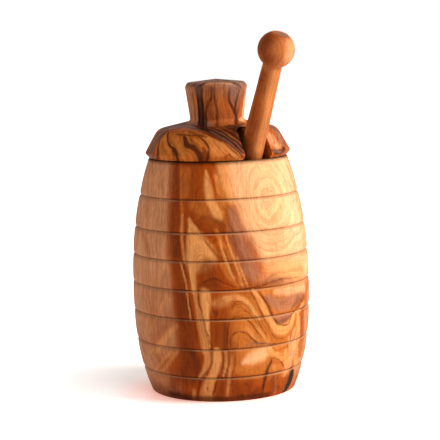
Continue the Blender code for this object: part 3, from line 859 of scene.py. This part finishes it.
def make_dipper():
    """The dipper, upright, with its origin on its axis at the height of the rim."""
    end_height = FLOOR_THICKNESS + FLOOR_GAP + HEAD_TIP_RADIUS * math.sin(DIPPER_LEAN)
    end = (end_height - JAR_HEIGHT) / math.cos(DIPPER_LEAN)
    corners = [
        (HANDLE_RADIUS, 0.0, 0.0),
        (HANDLE_RADIUS, end + HEAD_LENGTH + HEAD_COLLAR, 0.0),
        *head_corners(end),
        (0.0, end, 0.0),
    ]
    outline = subdivided(ball_outline() + rounded(corners), DIPPER_STEP)
    return turned("dipper_wood", outline, DIPPER_SIDES)


def dipper_place():
    """Where the dipper stands: it leans out through the notch."""
    return Matrix.Translation(DIPPER_AT_RIM) @ Matrix.Rotation(DIPPER_LEAN, 4, "X")


def smooth_path(points, step):
    """Points about a step apart along a smooth curve through the given ones."""
    points = np.array(points, float)
    ends = np.vstack((2 * points[0] - points[1], points, 2 * points[-1] - points[-2]))
    path = [points[0]]
    for a, b, c, d in zip(ends, ends[1:], ends[2:], ends[3:]):
        parts = max(1, math.ceil(np.linalg.norm(c - b) / step))
        for part in range(1, parts + 1):
            t = part / parts
            bend = (2 * a - 5 * b + 4 * c - d) * t ** 2 + (3 * b - a - 3 * c + d) * t ** 3
            path.append(b + ((c - a) * t + bend) / 2)
    return np.array(path)


def on_wood(pixels, surface):
    """The places on a surface that are seen at these pixels of the photograph."""
    view = camera_matrix()
    eye = view.translation
    places = []
    for x, y in pixels:
        aim = Vector((x - CENTRE_PIXEL[0], CENTRE_PIXEL[1] - y, -FOCAL_PIXELS))
        direction = (view.to_3x3() @ aim).normalized()
        hit = surface.ray_cast(eye, direction)[0]
        if hit is None:
            beside = eye + direction * (CAMERA_TARGET - eye).dot(direction)
            hit = surface.find_nearest(beside)[0]
        places.append(hit)
    return np.array(places)


def ripple(points, size, seed):
    """A smooth random shift of about 1 for each point, in waves of about this size."""
    random = np.random.default_rng(seed)
    shift = np.zeros_like(points)
    for _ in range(WARP_WAVES):
        wave = random.normal(size=3) * math.tau / (2 * size)
        phase = random.uniform(0, math.tau, 3)
        shift += np.sin((points @ wave)[:, None] + phase)
    return shift / math.sqrt(WARP_WAVES)


def figure_places(points, seed):
    """Where each point takes its figure from.

    The photographed half takes it from itself. The far half takes it from the near half's
    mirror image, shifted more and more towards the back, so the figure runs on all round.
    """
    depth = points @ FACING
    folded = points - 2 * np.minimum(depth, 0)[:, None] * FACING
    share = np.clip(-depth / BACK_DEPTH, 0, 1)[:, None]
    back_size, back_shift = BACK_WARP
    fine_size, fine_shift = FINE_WARP
    places = folded + ripple(points, back_size, seed) * back_shift * share
    return places + ripple(points, fine_size, seed + 1) * fine_shift


def stroke_distance(places, path, widths, reach):
    """How far each place is from a stroke, in half widths of the stroke, up to `reach`."""
    margin = widths.max() * reach
    near = np.all((places > path.min(0) - margin) & (places < path.max(0) + margin), axis=1)
    local = places[near]
    best = np.full(len(local), reach)
    for start, end, first, last in zip(path, path[1:], widths, widths[1:]):
        run = end - start
        share = np.clip((local - start) @ run / max(run @ run, TINY), 0, 1)
        away = np.linalg.norm(local - start - share[:, None] * run, axis=1)
        best = np.minimum(best, away / (first + (last - first) * share))
    distance = np.full(len(places), reach)
    distance[near] = best
    return distance


def stroke_path(points, width, surface):
    """A stroke's path on the wood, and its half width at each point of the path."""
    pixels = smooth_path(points, STROKE_STEP)
    marks = np.linspace(0, 1, np.size(width))
    along = np.linspace(0, 1, len(pixels))
    widths = np.interp(along, marks, np.atleast_1d(width)) * PIXEL
    return on_wood(pixels, surface), widths


def painted(places, base, strokes, surface):
    """The colour of each place after the strokes are laid over the base wood in turn."""
    tint = np.tile(linear(WOODS[base]), (len(places), 1))
    for wood, strength, softness, width, points in strokes:
        path, widths = stroke_path(points, width, surface)
        distance = stroke_distance(places, path, widths, 1 + softness)
        fade = np.clip((1 + softness - distance) / (2 * softness), 0, 1)
        cover = strength * fade * fade * (3 - 2 * fade)
        tint += (linear(WOODS[wood]) - tint) * cover[:, None]
    return tint


def veined(places, veins, surface):
    """Each place's distance from the nearest vein, in half widths, and that vein's strength."""
    nearest = np.full(len(places), VEIN_REACH)
    strengths = np.zeros(len(places))
    for strength, width, points in veins:
        path, widths = stroke_path(points, width, surface)
        from_end = np.minimum(np.arange(len(path)), np.arange(len(path))[::-1])
        widths = widths * np.clip(from_end * STROKE_STEP / VEIN_TAPER, VEIN_TIP, 1)
        distance = stroke_distance(places, path, widths, VEIN_REACH)
        strengths = np.where(distance < nearest, strength, strengths)
        nearest = np.minimum(distance, nearest)
    return nearest, strengths


def ring_count(places, contours, surface):
    """A smooth count of growth rings that has each contour's ring along that contour."""
    centres, rings = [], []
    for ring, points in contours:
        pixels = smooth_path(points, RING_POINT_STEP)
        centres.append(on_wood(pixels, surface))
        rings += [ring] * len(pixels)
    centres = np.vstack(centres) / PIXEL
    places = places / PIXEL
    sides = np.hstack((np.ones((len(centres), 1)), centres / PICTURE_PIXELS))
    count, terms = sides.shape
    system = np.zeros((count + terms, count + terms))
    gaps = np.linalg.norm(centres[:, None] - centres[None], axis=2)
    system[:count, :count] = gaps - RING_SLACK * np.eye(count)
    system[:count, count:] = sides
    system[count:, :count] = sides.T
    weights = np.linalg.solve(system, np.concatenate((rings, np.zeros(terms))))
    made = weights[count] + places @ weights[count + 1:] / PICTURE_PIXELS
    for centre, weight in zip(centres, weights):
        made += weight * np.linalg.norm(places - centre, axis=1)
    return made


def set_attribute(mesh, name, kind, values):
    made = mesh.attributes.new(name, kind, "POINT")
    key = "color" if kind == "FLOAT_COLOR" else "value"
    made.data.foreach_set(key, np.asarray(values, np.float32).ravel())


def points_of(mesh):
    flat = np.empty(len(mesh.vertices) * 3)
    mesh.vertices.foreach_get("co", flat)
    return flat.reshape(-1, 3)


def set_grain(mesh, rings, along):
    """Gives each point of a piece its growth ring and its place along the grain, in pixels."""
    set_attribute(mesh, "ring", "FLOAT", rings)
    set_attribute(mesh, "along", "FLOAT", along)


def set_figure(mesh, places, base, strokes, veins, surface):
    """Gives each point of a piece the colour and the veins that its place calls for."""
    tint = painted(places, base, strokes, surface)
    nearest, strengths = veined(places, veins, surface)
    set_attribute(mesh, "tint", "FLOAT_COLOR", np.hstack((tint, np.ones((len(tint), 1)))))
    set_attribute(mesh, "vein", "FLOAT", VEIN_REACH - nearest)
    set_attribute(mesh, "vein_strength", "FLOAT", strengths)


def lay_figure(piece, base, strokes, veins, contours, seed):
    """Lays the figure on a piece that is turned about the jar's axis."""
    surface = BVHTree.FromObject(piece, bpy.context.evaluated_depsgraph_get())
    points = points_of(piece.data)
    places = figure_places(points, seed)
    set_grain(piece.data, ring_count(places, contours, surface), points[:, 2] / PIXEL)
    set_figure(piece.data, places, base, strokes, veins, surface)


def lay_dipper_figure(dipper):
    """Straight, quiet grain along the dipper, with painted shade on its left and painted light on its
    right.
    """
    points = points_of(dipper.data)
    rings = (points[:, 0] + DIPPER_RING_SLANT * points[:, 1]) / PIXEL
    set_grain(dipper.data, rings, points[:, 2] / PIXEL)
    dipper.data.transform(dipper_place())
    surface = BVHTree.FromObject(dipper, bpy.context.evaluated_depsgraph_get())
    places = figure_places(points_of(dipper.data), DIPPER_SEED)
    set_figure(dipper.data, places, "dipper", DIPPER_STROKES, DIPPER_VEINS, surface)


def darken(mesh, shares):
    """Darkens the colour of each point to this share of it."""
    tint = mesh.attributes["tint"].data
    colours = np.empty(len(shares) * 4, np.float32)
    tint.foreach_get("color", colours)
    colours = colours.reshape(-1, 4)
    colours[:, :3] *= shares[:, None]
    tint.foreach_set("color", colours.ravel())


def paint_notch_shade(lid):
    """Darkens the walls of the lid's notch with painted shade, most of all on the left."""
    lean = np.array(Matrix.Rotation(-DIPPER_LEAN, 3, "X"))
    x, y, _ = ((points_of(lid.data) - NOTCH_AT_RIM) @ lean.T).T
    from_middle = np.where(y > 0, np.hypot(x, y), abs(x))
    wall = abs(from_middle - NOTCH_HALF_WIDTH) < NOTCH_WALL
    shade = np.interp(x, (-NOTCH_HALF_WIDTH, NOTCH_HALF_WIDTH), NOTCH_SHADES)
    darken(lid.data, np.where(wall & (y < NOTCH_HALF_WIDTH), shade, 1.0))


def paint_shade_under_lid(jar):
    """Darkens the joint under the lid with painted shade, where the lid's overhang shades it."""
    heights = points_of(jar.data)[:, 2]
    darken(jar.data, np.interp(heights, (JAR_HEIGHT - RIM_LINE, JAR_HEIGHT), (1.0, RIM_SHADE)))


def mark_grooves(jar):
    """Paints shade on the upper wall of each groove, and marks dust and a painted highlight on its lower
    lip.
    """
    points = points_of(jar.data)
    outside = np.hypot(points[:, 0], points[:, 1]) > HOLLOW_RADIUS + GROOVE_DEPTH
    gaps = points[:, 2, None] - np.array(GROOVE_HEIGHTS)
    nearest = np.take_along_axis(gaps, abs(gaps).argmin(axis=1)[:, None], axis=1)[:, 0]
    rise = nearest / GROOVE_HALF_WIDTH
    set_attribute(jar.data, "lip_dust_and_highlight", "FLOAT", np.interp(rise, *DUST_AND_HIGHLIGHT_ON_LIP) * outside)
    darken(jar.data, 1 - GROOVE_SHADE * np.interp(rise, *SHADE_ON_WALL) * outside)


def node(tree, kind, values, output, **settings):
    """Adds a node and returns an output. A value that is a socket is linked to its input."""
    made = tree.nodes.new(kind)
    for name, value in settings.items():
        setattr(made, name, value)
    for name, value in values.items():
        if isinstance(value, bpy.types.NodeSocket):
            tree.links.new(value, made.inputs[name])
        else:
            made.inputs[name].default_value = value
    return made.outputs[output]


def maths(tree, operation, first, second):
    return node(tree, "ShaderNodeMath", {0: first, 1: second}, 0, operation=operation)


def distance_from(tree, place, spot):
    values = {0: place, 1: spot}
    return node(tree, "ShaderNodeVectorMath", values, "Value", operation="DISTANCE")


def joined(tree, x, y, z):
    return node(tree, "ShaderNodeCombineXYZ", {0: x, 1: y, 2: z}, 0)


def noise(tree, place, kind):
    """Noise of a kind, (waves, detail, roughness), at a place."""
    waves, detail, roughness = kind
    place = node(tree, "ShaderNodeVectorMath", {0: place, 1: waves}, 0, operation="MULTIPLY")
    values = {"Vector": place, "Scale": 1.0, "Detail": detail, "Roughness": roughness}
    return node(tree, "ShaderNodeTexNoise", values, 0)


def remapped(tree, value, low, high, to_low, to_high):
    values = {0: value, 1: low, 2: high, 3: to_low, 4: to_high}
    return node(tree, "ShaderNodeMapRange", values, 0)


def mixed(tree, share, first, second, blend="MIX"):
    values = {0: share, 6: first, 7: second}
    return node(tree, "ShaderNodeMix", values, 2, data_type="RGBA", blend_type=blend)


def scaled(tree, colour, factor):
    return node(tree, "ShaderNodeVectorMath", {0: colour, 3: factor}, 0, operation="SCALE")


def attribute(tree, name, output):
    return node(tree, "ShaderNodeAttribute", {}, output, attribute_name=name)


def rgba(colour):
    return (*linear(colour), 1.0)


def wood_place(tree, origin, lean):
    """The place on the wood in a frame that stands at an origin and leans over by an angle."""
    values = {"Vector": node(tree, "ShaderNodeTexCoord", {}, "Object"), "Location": origin,
              "Rotation": (lean, 0.0, 0.0)}
    return node(tree, "ShaderNodeMapping", values, 0, vector_type="TEXTURE")


def grain_place(tree, place):
    """The place in growth rings, which wander a little, and in pixels along the grain."""
    wander = remapped(tree, noise(tree, place, WANDER), *WANDER_RINGS)
    count = maths(tree, "ADD", attribute(tree, "ring", "Fac"), wander)
    return joined(tree, count, attribute(tree, "along", "Fac"), 1.0)


def growth_line(tree, grain):
    """Thin lines along the grain, where a noise passes through its middle value."""
    line = maths(tree, "SUBTRACT", noise(tree, grain, GROWTH_LINES), NOISE_MIDDLE)
    return remapped(tree, maths(tree, "ABSOLUTE", line, 0.0), *LINE_SHARE)


def vein_share(tree, streak):
    """How dark each place is made by the veins, whose edges waver with the streaks."""
    vein = maths(tree, "ADD", attribute(tree, "vein", "Fac"), remapped(tree, streak, *VEIN_WAVER))
    strength = maths(tree, "MULTIPLY", attribute(tree, "vein_strength", "Fac"), VEIN_GAIN)
    strength = maths(tree, "MINIMUM", strength, 1.0)
    return maths(tree, "MULTIPLY", remapped(tree, vein, *VEIN_SHARE), strength)


def wood_material(name, lines, origin=ORIGIN, lean=0.0):
    """Oiled olive wood with growth lines of this strength. Its pores run along the Z axis of
    a frame that stands at this origin and leans over by this angle."""
    material = bpy.data.materials.new(name)
    material.use_nodes = True
    tree = material.node_tree
    shader = tree.nodes["Principled BSDF"]
    place = wood_place(tree, origin, lean)
    grain = grain_place(tree, place)
    streak = noise(tree, grain, STREAKS)
    mottle = noise(tree, place, MOTTLE)
    fibres = noise(tree, place, FIBRES)
    pores = remapped(tree, noise(tree, place, PORES), *PORE_SHARE)
    lip_dust_and_highlight = attribute(tree, "lip_dust_and_highlight", "Fac")

    colour = scaled(tree, attribute(tree, "tint", "Color"), remapped(tree, streak, *STREAK_SHADES))
    colour = scaled(tree, colour, remapped(tree, mottle, *MOTTLE_SHADES))
    colour = scaled(tree, colour, remapped(tree, fibres, *FIBRE_SHADES))
    line_share = maths(tree, "MULTIPLY", growth_line(tree, grain), lines)
    colour = mixed(tree, line_share, colour, LINE_TINT, "MULTIPLY")
    pore_share = maths(tree, "MULTIPLY", pores, PORE_STRENGTH)
    colour = mixed(tree, pore_share, colour, PORE_TINT, "MULTIPLY")
    colour = mixed(tree, vein_share(tree, streak), colour, VEIN_TINT, "MULTIPLY")
    # dust on the grooves' lower lips, which also carries a painted highlight where they catch the light
    lip_share = maths(tree, "MULTIPLY", lip_dust_and_highlight, remapped(tree, mottle, *DUST_AND_HIGHLIGHT_SHARE))
    colour = mixed(tree, lip_share, colour, rgba(DUST_AND_HIGHLIGHT_COLOUR))
    tree.links.new(colour, shader.inputs["Base Color"])

    roughness = remapped(tree, streak, *STREAK_ROUGHNESS)
    roughness = maths(tree, "ADD", roughness, maths(tree, "MULTIPLY", pores, PORE_ROUGHNESS))
    roughness = maths(tree, "ADD", roughness, maths(tree, "MULTIPLY", lip_dust_and_highlight, DUST_ROUGHNESS))
    tree.links.new(roughness, shader.inputs["Roughness"])
    shader.inputs["Specular IOR Level"].default_value = WOOD_SPECULAR

    height = maths(tree, "SUBTRACT", maths(tree, "MULTIPLY", streak, STREAK_RELIEF), pores)
    values = {"Strength": BUMP_STRENGTH, "Distance": BUMP_HEIGHT, "Height": height}
    tree.links.new(node(tree, "ShaderNodeBump", values, 0), shader.inputs["Normal"])
    return material


def dress(piece, cad_node, material):
    """Puts a material on a finished piece, which stands for one CAD node."""
    piece.data.materials.clear()
    piece.data.materials.append(material)
    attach(piece, "root")
    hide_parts(cad_node)


def floor_material():
    """A pale floor, with a painted shadow and a painted warm reflection of the foot. The camera
    sees it glow, and the jar gets only a part of that light.
    """
    material = bpy.data.materials.new("pale_floor")
    material.use_nodes = True
    tree = material.node_tree
    shader = tree.nodes["Principled BSDF"]
    shader.inputs["Base Color"].default_value = rgba(FLOOR_COLOUR)
    shader.inputs["Roughness"].default_value = FLOOR_ROUGHNESS
    place = node(tree, "ShaderNodeTexCoord", {}, "Object")
    away = distance_from(tree, place, ORIGIN)
    aside = distance_from(tree, place, SHADE_PLACE)
    before = distance_from(tree, place, FOOT_REFLECTION_PLACE)
    shade = remapped(tree, aside, SHADE_NEAR, SHADE_FAR, 1.0, 0.0)
    foot_reflection = maths(tree, "MULTIPLY", remapped(tree, before, FOOT_RADIUS, FOOT_REFLECTION_SIDE, 1.0, 0.0),
                   remapped(tree, away, FOOT_RADIUS, FOOT_REFLECTION_FAR, 1.0, 0.0))
    tint = mixed(tree, shade, WHITE, rgba(SHADE_COLOUR))
    tint = mixed(tree, foot_reflection, tint, rgba(FOOT_REFLECTION_COLOUR))
    tree.links.new(tint, shader.inputs["Emission Color"])
    glow = remapped(tree, away, FLOOR_NEAR, FLOOR_FAR, FLOOR_GLOW, 1.0)
    glow = maths(tree, "MINIMUM", glow, remapped(tree, shade, 0.0, 1.0, 1.0, SHADE_GLOW))
    seen = node(tree, "ShaderNodeLightPath", {}, "Is Camera Ray")
    glow = maths(tree, "MULTIPLY", glow, remapped(tree, seen, 0.0, 1.0, FLOOR_BOUNCE, 1.0))
    tree.links.new(glow, shader.inputs["Emission Strength"])
    return material


def add_floor():
    bpy.ops.mesh.primitive_plane_add(size=FLOOR_SIZE, location=ORIGIN)
    floor = bpy.context.object
    floor.name = "floor"
    floor.data.materials.append(floor_material())


def add_light(name, azimuth, elevation, distance, size, power, colour):
    """A soft square light that looks at the jar. Azimuth 0 is in front, and 90 on its right."""
    turn, rise = math.radians(azimuth), math.radians(elevation)
    outward = Vector((
        math.sin(turn) * math.cos(rise), -math.cos(turn) * math.cos(rise), math.sin(rise),
    ))
    data = bpy.data.lights.new(name, "AREA")
    data.size = size
    data.energy = power
    data.color = colour
    light = bpy.data.objects.new(name, data)
    light.location = CAMERA_TARGET + outward * distance
    light.rotation_euler = outward.to_track_quat("Z", "Y").to_euler()
    bpy.context.scene.collection.objects.link(light)


def add_world():
    """A white room that is seen brighter than it lights the jar."""
    world = bpy.data.worlds.new("studio")
    world.use_nodes = True
    tree = world.node_tree
    background = tree.nodes["Background"]
    background.inputs["Color"].default_value = WHITE
    seen = node(tree, "ShaderNodeLightPath", {}, "Is Camera Ray")
    strength = remapped(tree, seen, 0.0, 1.0, ROOM_LIGHT, 1.0)
    tree.links.new(strength, background.inputs["Strength"])
    bpy.context.scene.world = world


def add_camera():
    data = bpy.data.cameras.new("camera")
    data.sensor_width = SENSOR_WIDTH
    data.lens = SENSOR_WIDTH * FOCAL_PIXELS / PICTURE_PIXELS
    data.shift_x = (PICTURE_PIXELS / 2 - CENTRE_PIXEL[0]) / PICTURE_PIXELS
    camera = bpy.data.objects.new("camera", data)
    camera.matrix_world = camera_matrix()
    bpy.context.scene.collection.objects.link(camera)
    bpy.context.scene.camera = camera


def main():
    jar = make_jar()
    lay_figure(jar, "orange", BARREL_STROKES, BARREL_VEINS, BARREL_RINGS, JAR_SEED)
    paint_shade_under_lid(jar)
    mark_grooves(jar)
    dress(jar, "jar", wood_material("jar_wood", JAR_LINES))
    lid = make_lid()
    lay_figure(lid, "honey", LID_STROKES, LID_VEINS, LID_RINGS, LID_SEED)
    paint_notch_shade(lid)
    dress(lid, "lid", wood_material("lid_wood", LID_LINES))
    dipper = make_dipper()
    lay_dipper_figure(dipper)
    wood = wood_material("dipper_wood", DIPPER_LINES, DIPPER_AT_RIM, DIPPER_LEAN)
    dress(dipper, "dipper", wood)
    add_floor()
    for light in LIGHTS:
        add_light(*light)
    add_world()
    add_camera()
    bpy.context.scene.view_settings.view_transform = "Standard"


main()
